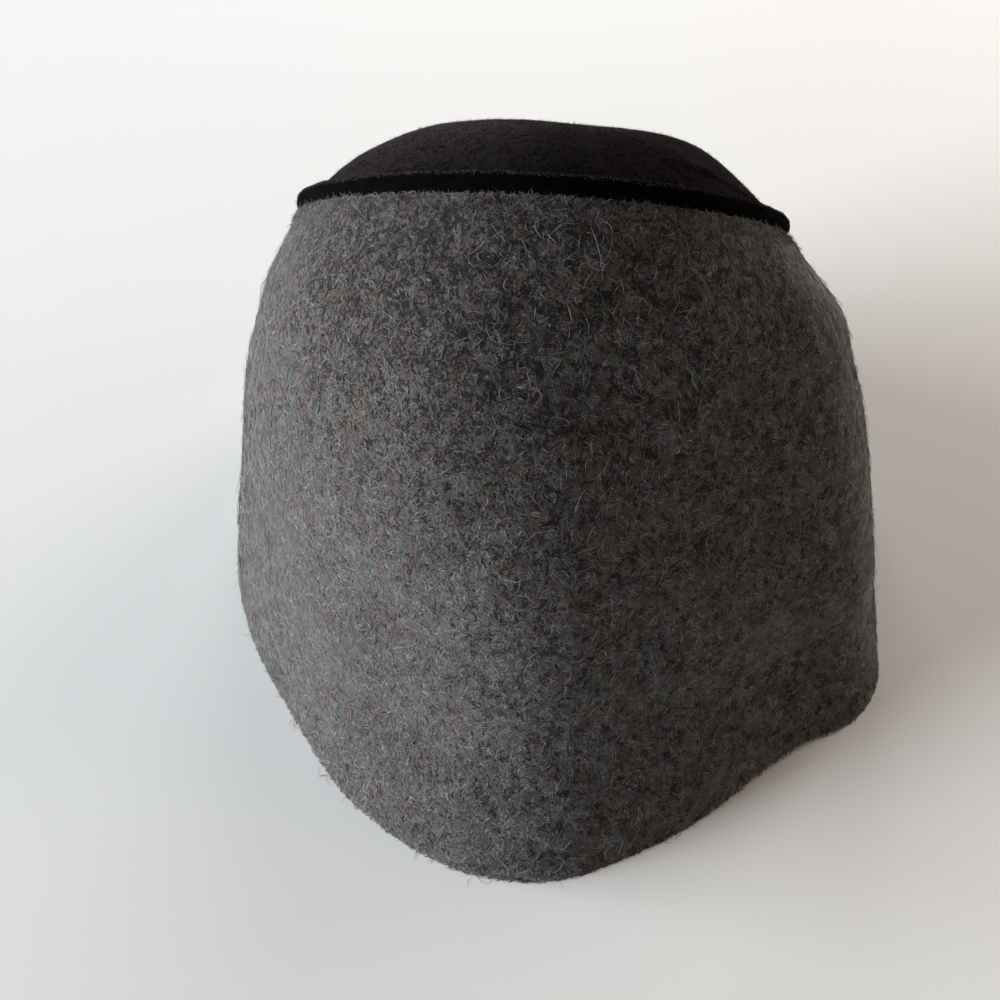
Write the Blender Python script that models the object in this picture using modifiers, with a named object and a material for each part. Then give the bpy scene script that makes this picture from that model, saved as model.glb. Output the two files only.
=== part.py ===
"""Soft felt hat with a pointed, turned-down hem and a slanting black crown tip.

The grey body is one wall of felt. It rises from a hem that stands flat on the table, with a point
at the front (-Y), and closes in to a round seam that slants down to the back. A raised black edge
lies on that seam, and a low black dome of felt closes the crown above it. Metres, +Z up, with the
origin at the middle of the hem, on the table.
"""
import math

import bmesh
import bpy
import numpy as np
from mathutils import Euler, Matrix

# Driving sizes, in metres
HAT_LENGTH = 0.229
HAT_WIDTH = 0.217
BODY_FELT = 0.003
TIP_FELT = 0.0025
SEAT_GAP = 0.0003

# The round seam between the grey body and the black tip
SEAM_RADIUS = 0.0734
SEAM_HEIGHT = 0.0968
SEAM_SET_BACK = 0.0528
SEAM_SHIFT = -0.0056
SEAM_TILT = math.radians(46.5)
SEAM_LEAN = math.radians(5.4)

# The raised edge stands out past the seam, and past the foot of the dome on it
EDGE_HEIGHT = 0.0055
EDGE_REACH = 0.0009
EDGE_LEDGE = 0.0062
UPPER_ROUND = 0.55
LOWER_ROUND = 0.35
DOME_RISE = 0.0220
DOME_FULLNESS = 3.9

# How far the folds of the wall stand out or in
FOLD_DEPTH = 0.0025

# How finely the surfaces are divided
TURNS = 76
LEVELS = 20
DOME_RINGS = 13
ROUNDING_STEPS = 4

# How far the wall runs on past its trimmed ends, as a share of its rise
TRIM_SHARE = 0.035

# How much closer together the wall's rows lie at the shoulder
SHOULDER_CROWDING = 1.5

# The hem seen from above: degrees round from the front (right is plus), and the reach as a share
# of half the hat's length or width
HEM_OUTLINE = (
    # turn, reach
    (-150.0, 1.036),
    (-120.0, 1.045),
    (-89.0, 0.984),
    (-72.0, 0.951),
    (-57.0, 0.934),
    (-34.0, 0.988),
    (-14.0, 1.022),
    (-3.0, 1.008),
    (8.0, 0.962),
    (22.0, 0.918),
    (37.0, 0.893),
    (46.0, 0.915),
    (56.0, 0.991),
    (63.0, 1.003),
    (71.0, 0.974),
    (86.0, 0.956),
    (112.0, 1.041),
    (150.0, 1.045),
    (180.0, 0.997),
)

# The wall from hem to seam: its rise as a share of the seam's height there, and how far it has
# closed in from the hem towards the seam, at the front, the sides and the back
WALL_STAGES = (
    # rise, front, side, back
    (0.000, 0.000, 0.000, 0.000),
    (0.070, 0.071, 0.063, 0.060),
    (0.165, 0.191, 0.091, 0.120),
    (0.320, 0.311, 0.187, 0.220),
    (0.555, 0.454, 0.321, 0.390),
    (0.790, 0.657, 0.564, 0.650),
    (0.935, 0.855, 0.786, 0.890),
    (1.000, 1.000, 1.000, 1.000),
)

# Soft folds and hollows: where they lie, how far they stand out as a share of the fold depth,
# and how far they spread round the hat (degrees) and up the wall (share of the rise)
FOLDS = (
    # name, turn, rise, push, turn spread, rise spread
    ("left crease ridge", -42.0, 0.31, 1.0, 17.0, 0.065),
    ("left crease hollow", -30.0, 0.19, -0.7, 16.0, 0.050),
    ("right crease ridge", 47.0, 0.33, 1.0, 20.0, 0.060),
    ("right crease hollow", 45.0, 0.20, -0.9, 14.0, 0.050),
    ("right front hollow", 27.0, 0.58, -1.0, 17.0, 0.110),
    ("upper right swelling", 36.0, 0.82, 0.6, 14.0, 0.070),
    ("right shoulder swelling", 88.0, 0.87, 1.64, 22.0, 0.075),
    ("right side swelling", 88.0, 0.70, 0.97, 22.0, 0.100),
    ("right low swelling", 88.0, 0.50, 0.40, 22.0, 0.100),
    ("left shoulder swelling", -88.0, 0.87, 0.32, 22.0, 0.075),
    ("left side swelling", -88.0, 0.70, 0.42, 22.0, 0.100),
    ("front ridge", -2.0, 0.45, 0.9, 8.0, 0.260),
    ("left side crease", -78.0, 0.42, -0.5, 5.0, 0.150),
)


def smooth_table(rows, places, period=None):
    """Values of a table at the given places, along a cubic with slopes from the neighbours."""
    table = np.array(rows, dtype=float)
    knots, values = table[:, 0], table[:, 1:]
    if period:
        knots = np.concatenate([knots[-2:] - period, knots, knots[:2] + period])
        values = np.concatenate([values[-2:], values, values[:2]])
        places = (places - knots[2]) % period + knots[2]
    steps = np.diff(knots)[:, None]
    rates = np.diff(values, axis=0) / steps
    slopes = np.empty_like(values)
    slopes[0], slopes[-1] = rates[0], rates[-1]
    slopes[1:-1] = (rates[:-1] * steps[1:] + rates[1:] * steps[:-1]) / (steps[:-1] + steps[1:])
    left = np.clip(np.searchsorted(knots, places, side="right") - 1, 0, len(knots) - 2)
    share = ((places - knots[left]) / (knots[left + 1] - knots[left]))[:, None]
    start = (2 * share**3 - 3 * share**2 + 1) * values[left]
    leave = (share**3 - 2 * share**2 + share) * steps[left] * slopes[left]
    end = (3 * share**2 - 2 * share**3) * values[left + 1]
    arrive = (share**3 - share**2) * steps[left] * slopes[left + 1]
    return start + leave + end + arrive


def bell(distance, spread):
    """A soft bump: one at no distance, falling off over the spread."""
    return np.exp(-0.5 * (distance / spread) ** 2)


def seam_matrix():
    """Place of the seam: its own Z is square to the slanting seam, its own -Y is the front."""
    turn = Euler((-SEAM_TILT, SEAM_LEAN, 0.0), "XYZ").to_matrix().to_4x4()
    return Matrix.Translation((SEAM_SHIFT, SEAM_SET_BACK, SEAM_HEIGHT)) @ turn


def hem_points(turns):
    """The hem's outline on the table, with its box centred on the origin."""
    reach = smooth_table(HEM_OUTLINE, turns, 360.0)[:, 0]
    angle = np.radians(turns)
    across = reach * np.sin(angle)
    along = -reach * np.cos(angle)
    across = (across - (across.max() + across.min()) / 2) * 2 / (across.max() - across.min())
    along = (along - (along.max() + along.min()) / 2) * 2 / (along.max() - along.min())
    flat = np.zeros_like(across)
    return np.stack([across * HAT_WIDTH / 2, along * HAT_LENGTH / 2, flat], axis=1)


def seam_points(turns):
    """The round seam on the body, at the same turns as the hem."""
    angle = np.radians(turns)
    circle = np.stack([np.sin(angle), -np.cos(angle), np.zeros_like(angle)], axis=1) * SEAM_RADIUS
    place = np.array(seam_matrix())
    return circle @ place[:3, :3].T + place[:3, 3]


def wall_grid(rises, turns):
    """Outer face of the body: a row of points for each rise, closed round the hat."""
    hem, seam = hem_points(turns), seam_points(turns)
    stages = smooth_table(WALL_STAGES, rises)
    facing = np.cos(np.radians(turns))
    to_front = np.clip(facing, 0.0, 1.0) ** 2
    to_back = np.clip(-facing, 0.0, 1.0) ** 2
    grid = np.empty((len(rises), len(turns), 3))
    for row, (rise, (front, side, back)) in enumerate(zip(rises, stages)):
        closed_in = side + (front - side) * to_front + (back - side) * to_back
        grid[row] = hem + (seam - hem) * closed_in[:, None]
        grid[row, :, 2] = seam[:, 2] * rise
    return grid


def outward(grid):
    """Unit normals of the grid, pointing out of the hat."""
    round_hat = np.roll(grid, -1, axis=1) - np.roll(grid, 1, axis=1)
    up_wall = np.gradient(grid, axis=0)
    normals = np.cross(round_hat, up_wall)
    return normals / np.linalg.norm(normals, axis=2, keepdims=True)


def folded_grid(rises, turns):
    """The wall with its folds and hollows pressed in."""
    grid = wall_grid(rises, turns)
    push = np.zeros(grid.shape[:2])
    for _name, turn, rise, share, turn_spread, rise_spread in FOLDS:
        away = (turns - turn + 180.0) % 360.0 - 180.0
        push += share * FOLD_DEPTH * bell(rises - rise, rise_spread)[:, None] * bell(away, turn_spread)
    return grid + outward(grid) * push[:, :, None]


def felt_material(name, colour, roughness):
    """A plain matt felt."""
    material = bpy.data.materials.new(name)
    material.use_nodes = True
    shader = material.node_tree.nodes["Principled BSDF"]
    shader.inputs["Base Color"].default_value = (*colour, 1.0)
    shader.inputs["Roughness"].default_value = roughness
    shader.inputs["Metallic"].default_value = 0.0
    return material


def make_object(name, mesh, collection, material=None):
    """Link a mesh as a named object, smooth where it is rounded."""
    piece = bpy.data.objects.new(name, mesh)
    collection.objects.link(piece)
    if material:
        mesh.materials.append(material)
    mesh.shade_smooth()
    mesh.set_sharp_from_angle(angle=math.radians(40.0))
    return piece


def trimming_drum(name, place, radius, collection):
    """A drum that stands on the plane of the given place, to trim the wall down to it."""
    shape = bmesh.new()
    bmesh.ops.create_cone(
        shape,
        cap_ends=True,
        segments=TURNS,
        radius1=radius,
        radius2=radius,
        depth=radius,
        matrix=Matrix.Translation((0.0, 0.0, radius / 2)),
    )
    mesh = bpy.data.meshes.new(name)
    shape.to_mesh(mesh)
    shape.free()
    drum = bpy.data.objects.new(name, mesh)
    drum.matrix_world = place
    drum.display_type = "WIRE"
    drum.hide_render = True
    collection.objects.link(drum)
    return drum


def trim(piece, cutter):
    """Cut the piece with the cutter."""
    cut = piece.modifiers.new("trim_" + cutter.name, "BOOLEAN")
    cut.operation = "DIFFERENCE"
    cut.solver = "EXACT"
    cut.object = cutter


def felt_body(parts, cutters, material):
    """The grey wall: a loft from the pointed hem to the round seam, given its thickness."""
    steps = np.linspace(0.0, 1.0, LEVELS)
    rises = np.concatenate([[-TRIM_SHARE], 1.0 - (1.0 - steps) ** SHOULDER_CROWDING, [1.0 + TRIM_SHARE]])
    turns = np.arange(TURNS) * 360.0 / TURNS
    grid = folded_grid(rises, turns)
    shape = bmesh.new()
    rows = [[shape.verts.new(point) for point in row] for row in grid]
    for lower, upper in zip(rows, rows[1:]):
        for here in range(TURNS):
            there = (here + 1) % TURNS
            shape.faces.new((lower[here], lower[there], upper[there], upper[here]))
    mesh = bpy.data.meshes.new("felt_body")
    shape.to_mesh(mesh)
    shape.free()
    body = make_object("felt_body", mesh, parts, material)
    thick = body.modifiers.new("felt", "SOLIDIFY")
    thick.thickness = BODY_FELT
    thick.offset = -1.0
    thick.use_even_offset = True
    table = Matrix.Rotation(math.pi, 4, "X")
    trim(body, trimming_drum("table_cut", table, HAT_LENGTH + HAT_WIDTH, cutters))
    trim(body, trimming_drum("seam_cut", seam_matrix(), SEAM_RADIUS + BODY_FELT, cutters))
    return body


def turned(name, profile, closed, seat, collection, material):
    """A solid turned from a profile of (radius, height) points, standing on its seat."""
    mesh = bpy.data.meshes.new(name)
    links = [(here, here + 1) for here in range(len(profile) - 1)]
    if closed:
        links.append((len(profile) - 1, 0))
    mesh.from_pydata([(radius, 0.0, height) for radius, height in profile], links, [])
    piece = make_object(name, mesh, collection, material)
    screw = piece.modifiers.new("turn", "SCREW")
    screw.axis = "Z"
    screw.angle = 2 * math.pi
    screw.steps = TURNS
    screw.render_steps = TURNS
    screw.use_merge_vertices = True
    screw.merge_threshold = 0.00002
    screw.use_smooth_shade = True
    piece.parent = seat
    return piece


def crown_edge(seat, collection, material):
    """The raised black edge: a soft roll that stands out past the seam."""
    low = SEAT_GAP
    high = SEAT_GAP + EDGE_HEIGHT
    inner = SEAM_RADIUS + EDGE_REACH - EDGE_LEDGE - TIP_FELT
    outer = SEAM_RADIUS + EDGE_REACH
    upper, lower = EDGE_HEIGHT * UPPER_ROUND, EDGE_HEIGHT * LOWER_ROUND
    profile = [(inner, high)]
    for step in range(ROUNDING_STEPS + 1):
        turn = math.pi / 2 * step / ROUNDING_STEPS
        profile.append((outer - upper + upper * math.sin(turn), high - upper + upper * math.cos(turn)))
    for step in range(ROUNDING_STEPS + 1):
        turn = math.pi / 2 * step / ROUNDING_STEPS
        profile.append((outer - lower + lower * math.cos(turn), low + lower - lower * math.sin(turn)))
    profile.append((inner, low))
    return turned("crown_edge", profile, True, seat, collection, material)


def dome_profile(radius, rise, base):
    """A full, low dome: from its top on the axis down to its foot."""
    places = np.sin(np.linspace(0.0, math.pi / 2, DOME_RINGS))
    return [(radius * place, base + rise * (1.0 - place**DOME_FULLNESS)) for place in places]


def crown_tip(seat, collection, material):
    """The black dome: one layer of felt, open below, that stands on the raised edge."""
    foot = EDGE_HEIGHT + 2 * SEAT_GAP
    radius = SEAM_RADIUS + EDGE_REACH - EDGE_LEDGE
    outside = dome_profile(radius, DOME_RISE, foot)
    inside = dome_profile(radius - TIP_FELT, DOME_RISE - TIP_FELT, foot)
    profile = outside + inside[::-1]
    return turned("crown_tip", profile, False, seat, collection, material)


def build():
    """Clear the scene and model the hat."""
    for old in list(bpy.data.objects):
        bpy.data.objects.remove(old, do_unlink=True)
    parts = bpy.data.collections.new("felt_hat")
    cutters = bpy.data.collections.new("cutters")
    for collection in (parts, cutters):
        bpy.context.scene.collection.children.link(collection)
    grey = felt_material("grey_felt", (0.085, 0.080, 0.075), 0.95)
    black = felt_material("black_felt", (0.010, 0.009, 0.009), 0.90)
    edging = felt_material("black_edging", (0.006, 0.005, 0.005), 0.85)
    seat = bpy.data.objects.new("crown_seat", None)
    parts.objects.link(seat)
    seat.matrix_world = seam_matrix()
    felt_body(parts, cutters, grey)
    crown_edge(seat, parts, edging)
    crown_tip(seat, parts, black)


build()
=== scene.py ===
"""Looks of the soft felt hat: heathered grey wall, raised black edge and black crown tip.

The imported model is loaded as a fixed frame. Each felt piece is then remade as a fine mesh in the
same place, with the folds, the soft relief and the loose fibres of the real felt.

Lengths are in metres. Turns are in degrees from the front, counter-clockwise seen from above, and
rises are shares of the way up from the hem to the crown seam.
"""
import logging
import math
from dataclasses import dataclass, field
from enum import Enum
from typing import ClassVar

import bpy
import numpy as np
from mathutils import Euler, Matrix, Vector, noise


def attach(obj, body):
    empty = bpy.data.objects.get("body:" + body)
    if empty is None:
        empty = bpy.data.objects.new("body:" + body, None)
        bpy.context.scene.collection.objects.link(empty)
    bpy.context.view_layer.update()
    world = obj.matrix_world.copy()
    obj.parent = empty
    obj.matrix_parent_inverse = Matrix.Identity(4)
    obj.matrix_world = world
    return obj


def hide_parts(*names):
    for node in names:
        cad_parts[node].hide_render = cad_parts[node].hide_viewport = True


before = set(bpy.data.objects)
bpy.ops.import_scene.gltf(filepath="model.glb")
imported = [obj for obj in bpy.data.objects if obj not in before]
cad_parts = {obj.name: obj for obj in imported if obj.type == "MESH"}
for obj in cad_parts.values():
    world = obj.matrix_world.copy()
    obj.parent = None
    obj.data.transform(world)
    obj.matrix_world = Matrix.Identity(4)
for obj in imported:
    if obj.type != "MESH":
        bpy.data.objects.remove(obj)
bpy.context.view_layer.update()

log = logging.getLogger("felt_hat")

Colour = tuple[float, float, float]
Span = tuple[float, float]
Table = tuple[tuple[float, ...], ...]

BODY_NAME = "root"
FULL_TURN = 360.0
MILLIMETRE = 0.001
FLOOR_CLEARANCE = 0.0001


class Tint(Enum):
    """The wool tints that are carded together in the grey felt and in the black one."""

    CHARCOAL = "charcoal"
    BROWN = "brown"
    SLATE = "slate"
    ASH = "ash"
    PALE = "pale"
    PLUM = "plum"
    MOSS = "moss"
    BLACK = "black"
    SOOT = "soot"
    # Black darkened further, as painted shade for the edge roll.
    PAINTED_SHADE_BLACK = "painted_shade_black"
    # Grey, as painted highlight on the fuzz along the edge's rim and the dome's crease.
    PAINTED_HIGHLIGHT = "painted_highlight"


Tints = tuple[tuple[Tint, float], ...]


class Lie(Enum):
    """How a fibre lies on the felt."""

    FLAT = "flat"
    RAISED = "raised"
    STRAY = "stray"


class NoisePatch(Enum):
    """Offsets that read a fresh patch of noise for each use."""

    WALL_LUMPS = 3.1
    WALL_PEBBLES = 7.7
    ROLL_LUMPS = 1.3
    ROLL_PEBBLES = 5.3
    DOME_LUMPS = 9.1
    DOME_PEBBLES = 2.2
    TONE = 4.4
    HUE = 6.6
    LEAN_X = 1.1
    LEAN_Y = 5.5
    LEAN_Z = 8.8


def smooth_table(rows: Table, places: np.ndarray, period: float | None = None) -> np.ndarray:
    """Read a table along a cubic whose slopes come from the neighbouring rows.

    Args:
        rows: Rows of a place followed by one or more values.
        places: Where to read the table.
        period: Length after which the table repeats, or None.

    Returns:
        One row of values for each place.
    """
    table = np.array(rows, dtype=float)
    knots, values = table[:, 0], table[:, 1:]
    if period:
        knots = np.concatenate([knots[-2:] - period, knots, knots[:2] + period])
        values = np.concatenate([values[-2:], values, values[:2]])
        places = (places - knots[2]) % period + knots[2]
    steps = np.diff(knots)[:, None]
    rates = np.diff(values, axis=0) / steps
    slopes = np.empty_like(values)
    slopes[0], slopes[-1] = rates[0], rates[-1]
    slopes[1:-1] = (rates[:-1] * steps[1:] + rates[1:] * steps[:-1]) / (steps[:-1] + steps[1:])
    left = np.clip(np.searchsorted(knots, places, side="right") - 1, 0, len(knots) - 2)
    share = ((places - knots[left]) / (knots[left + 1] - knots[left]))[:, None]
    start = (2 * share**3 - 3 * share**2 + 1) * values[left]
    leave = (share**3 - 2 * share**2 + share) * steps[left] * slopes[left]
    end = (3 * share**2 - 2 * share**3) * values[left + 1]
    arrive = (share**3 - share**2) * steps[left] * slopes[left + 1]
    return start + leave + end + arrive


def bell(distance: np.ndarray, spread: float) -> np.ndarray:
    """Return a soft bump: one at no distance, falling off over the spread."""
    return np.exp(-0.5 * (distance / spread) ** 2)


def turn_gap(turns: np.ndarray, turn: float) -> np.ndarray:
    """Return the signed difference in degrees between turns and one turn."""
    return (turns - turn + FULL_TURN / 2) % FULL_TURN - FULL_TURN / 2


def unit(vectors: np.ndarray) -> np.ndarray:
    """Return the vectors at length one."""
    return vectors / np.maximum(np.linalg.norm(vectors, axis=-1, keepdims=True), 1e-12)


def grid_normals(grid: np.ndarray) -> np.ndarray:
    """Unit normals of a grid that closes along its second axis.

    Args:
        grid: Points, one row for each level, counter-clockwise seen from above.

    Returns:
        A normal for each point, pointing out of the form.
    """
    around = np.roll(grid, -1, axis=1) - np.roll(grid, 1, axis=1)
    along = np.gradient(grid, axis=0)
    return unit(np.cross(around, along))


def soft_noise(points: np.ndarray, grain: float, patch: NoisePatch) -> np.ndarray:
    """Smooth noise between about -1 and 1, read at each point.

    Args:
        points: Points in metres, in any array shape that ends in three.
        grain: Size of the noise's lumps, in metres.
        patch: Which patch of noise to read.

    Returns:
        One value for each point.
    """
    flat = points.reshape(-1, 3) / grain + patch.value
    values = [noise.noise(Vector(point)) for point in flat]
    return np.array(values).reshape(points.shape[:-1])


def new_mesh_piece(name: str, points: np.ndarray | list, faces: np.ndarray | list) -> bpy.types.Object:
    """Make a linked mesh object.

    Args:
        name: Name of the piece.
        points: Vertex positions in metres.
        faces: Vertex indices, one row for each face.

    Returns:
        The new object.
    """
    mesh = bpy.data.meshes.new(name)
    mesh.from_pydata(points, [], faces)
    mesh.update()
    piece = bpy.data.objects.new(name, mesh)
    bpy.context.scene.collection.objects.link(piece)
    return piece


def tube_faces(rows: int, columns: int, closed_rows: bool) -> np.ndarray:
    """Quads of a grid that closes along its columns, and if asked along its rows too.

    Args:
        rows: Number of rows of points.
        columns: Number of points in each row.
        closed_rows: True if the last row joins the first.

    Returns:
        Four vertex indices for each quad.
    """
    last = rows if closed_rows else rows - 1
    row, column = np.meshgrid(np.arange(last), np.arange(columns), indexing="ij")
    upper = (row + 1) % rows
    beside = (column + 1) % columns
    corners = [
        row * columns + column,
        row * columns + beside,
        upper * columns + beside,
        upper * columns + column,
    ]
    return np.stack(corners, axis=-1).reshape(-1, 4)


@dataclass(frozen=True)
class HatForm:
    """The hat's form: the pointed hem, the slanting round seam and the wall between them."""

    length: float = 0.229
    width: float = 0.217
    seam_radius: float = 0.0734
    seam_height: float = 0.0968
    seam_set_back: float = 0.0528
    seam_shift: float = -0.0056
    seam_tilt: float = math.radians(46.5)
    seam_lean: float = math.radians(5.4)
    fold_depth: float = 0.0025
    hem_outline: Table = (
        # turn in degrees from the front, reach
        (-150.0, 1.036), (-120.0, 1.045), (-89.0, 0.984), (-72.0, 0.951), (-57.0, 0.934), (-34.0, 0.988),
        (-14.0, 1.022), (-3.0, 1.008), (8.0, 0.962), (22.0, 0.918), (37.0, 0.893), (46.0, 0.915),
        (56.0, 0.991), (63.0, 1.003), (71.0, 0.974), (86.0, 0.956), (112.0, 1.041), (150.0, 1.045),
        (180.0, 0.997),
    )
    wall_stages: Table = (
        # rise, closed in at the front, at the side, at the back
        (0.000, 0.000, 0.000, 0.000),
        (0.070, 0.071, 0.063, 0.060),
        (0.165, 0.191, 0.091, 0.120),
        (0.320, 0.311, 0.187, 0.220),
        (0.555, 0.454, 0.321, 0.390),
        (0.790, 0.657, 0.564, 0.650),
        (0.935, 0.855, 0.786, 0.890),
        (1.000, 1.000, 1.000, 1.000),
    )
    folds: Table = (
        # turn, rise, push, turn spread, rise spread
        (-42.0, 0.31, 1.0, 17.0, 0.065),
        (-30.0, 0.19, -0.7, 16.0, 0.050),
        (47.0, 0.33, 1.0, 20.0, 0.060),
        (45.0, 0.20, -0.9, 14.0, 0.050),
        (27.0, 0.58, -1.0, 17.0, 0.110),
        (36.0, 0.82, 0.6, 14.0, 0.070),
        (88.0, 0.87, 1.64, 22.0, 0.075),
        (88.0, 0.70, 0.97, 22.0, 0.100),
        (88.0, 0.50, 0.40, 22.0, 0.100),
        (-88.0, 0.87, 0.32, 22.0, 0.075),
        (-88.0, 0.70, 0.42, 22.0, 0.100),
        (-2.0, 0.45, 0.9, 8.0, 0.260),
        (-78.0, 0.42, -0.5, 5.0, 0.150),
    )
    relief_turns: tuple[float, ...] = (-65.0, -52.0, -39.0, -26.0, -13.0, 0.0, 13.0, 26.0, 39.0, 52.0)
    relief_turn_spread: float = 8.5
    relief_rise_spread: float = 0.075
    relief_fade: float = 0.06
    relief: Table = (
        # rise, then the felt's soft swellings in millimetres, one for each of the turns above. A separate
        # program fitted these to the shading in the photograph, so they weren't chosen by hand.
        (0.07, -0.03, -0.21, -0.55, -0.72, 0.22, 0.36, 0.81, 0.89, -0.13, -0.54),
        (0.19, -0.05, -0.04, -0.40, -0.77, 0.48, 0.27, 0.56, 0.57, 0.33, 0.00),
        (0.31, -0.13, -0.14, -0.84, -1.28, 0.91, 0.80, 0.60, 0.39, 0.05, 0.01),
        (0.43, -0.04, 0.06, -0.60, -0.22, 1.68, 0.22, 0.38, 0.90, 1.49, 0.83),
        (0.55, 0.07, 0.41, 0.18, 0.44, 0.67, -0.46, 0.19, -0.04, 0.71, 0.88),
        (0.67, 0.38, 0.89, 0.34, 0.95, 0.06, -1.23, -0.48, -0.77, -0.04, 0.52),
        (0.79, 0.58, 1.16, 0.07, 0.64, 0.16, -1.67, -2.05, -1.67, -1.15, 0.39),
        (0.91, 0.43, 0.94, 0.33, 0.27, -0.55, -1.27, -1.04, -0.25, -0.93, 0.52),
    )

    def seam_place(self) -> Matrix:
        """Return the seam's place: its own Z is square to the slanting seam, and -Y is its front."""
        turn = Euler((-self.seam_tilt, self.seam_lean, 0.0), "XYZ").to_matrix().to_4x4()
        return Matrix.Translation((self.seam_shift, self.seam_set_back, self.seam_height)) @ turn

    def on_seam(self, points: np.ndarray) -> np.ndarray:
        """Move points from the seam's own place to the hat's.

        Args:
            points: Points in the seam's own place, in any array shape that ends in three.

        Returns:
            The same points in the hat's place.
        """
        place = np.array(self.seam_place())
        return points @ place[:3, :3].T + place[:3, 3]

    def hem(self, turns: np.ndarray) -> np.ndarray:
        """The hem's outline on the ground, with its box centred on the origin.

        Args:
            turns: Degrees round the hat from the front.

        Returns:
            A point for each turn.
        """
        reach = smooth_table(self.hem_outline, turns, FULL_TURN)[:, 0]
        angle = np.radians(turns)
        across = reach * np.sin(angle)
        along = -reach * np.cos(angle)
        across = (across - (across.max() + across.min()) / 2) * 2 / (across.max() - across.min())
        along = (along - (along.max() + along.min()) / 2) * 2 / (along.max() - along.min())
        return np.stack([across * self.width / 2, along * self.length / 2, np.zeros_like(along)], axis=1)

    def seam(self, turns: np.ndarray) -> np.ndarray:
        """The round seam, at the same turns as the hem.

        Args:
            turns: Degrees round the hat from the front.

        Returns:
            A point for each turn.
        """
        angle = np.radians(turns)
        circle = np.stack([np.sin(angle), -np.cos(angle), np.zeros_like(angle)], axis=1)
        return self.on_seam(circle * self.seam_radius)

    def wall(self, rises: np.ndarray, turns: np.ndarray) -> np.ndarray:
        """The wall's outer face without its folds.

        Args:
            rises: Shares of the way up, from hem to seam.
            turns: Degrees round the hat from the front.

        Returns:
            A grid of points, one row for each rise.
        """
        hem, seam = self.hem(turns), self.seam(turns)
        stages = smooth_table(self.wall_stages, rises)
        facing = np.cos(np.radians(turns))
        to_front = np.clip(facing, 0.0, 1.0) ** 2
        to_back = np.clip(-facing, 0.0, 1.0) ** 2
        front, side, back = (stages[:, column, None] for column in range(3))
        closed_in = side + (front - side) * to_front + (back - side) * to_back
        grid = hem[None] + (seam - hem)[None] * closed_in[:, :, None]
        grid[:, :, 2] = seam[None, :, 2] * rises[:, None]
        return grid

    def folded_wall(self, rises: np.ndarray, turns: np.ndarray) -> np.ndarray:
        """The wall's outer face with its folds, ridges and hollows.

        Args:
            rises: Shares of the way up, from hem to seam.
            turns: Degrees round the hat from the front.

        Returns:
            A grid of points, one row for each rise.
        """
        grid = self.wall(rises, turns)
        push = np.zeros(grid.shape[:2])
        for turn, rise, share, turn_spread, rise_spread in self.folds:
            reach = bell(rises - rise, rise_spread)[:, None] * bell(turn_gap(turns, turn), turn_spread)
            push += share * self.fold_depth * reach
        push += self.soft_relief(rises, turns)
        return grid + grid_normals(grid) * push[:, :, None]

    def soft_relief(self, rises: np.ndarray, turns: np.ndarray) -> np.ndarray:
        """The felt's soft swellings and hollows, which fade out at hem and seam.

        Args:
            rises: Shares of the way up, from hem to seam.
            turns: Degrees round the hat from the front.

        Returns:
            A push in metres for each point, one row for each rise.
        """
        table = np.array(self.relief)
        up = bell(rises[:, None] - table[None, :, 0], self.relief_rise_spread)
        gaps = turn_gap(turns[:, None], np.array(self.relief_turns)[None])
        around = bell(gaps, self.relief_turn_spread)
        fade = np.clip(np.minimum(rises, 1.0 - rises) / self.relief_fade, 0.0, 1.0)
        return MILLIMETRE * (up @ table[:, 1:] @ around.T) * fade[:, None]


@dataclass(frozen=True)
class Grain:
    """One size of mottling in a felt: its size, its finer octaves and how far it is swirled."""

    size: float
    detail: float
    roughness: float
    swirl: float


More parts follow.
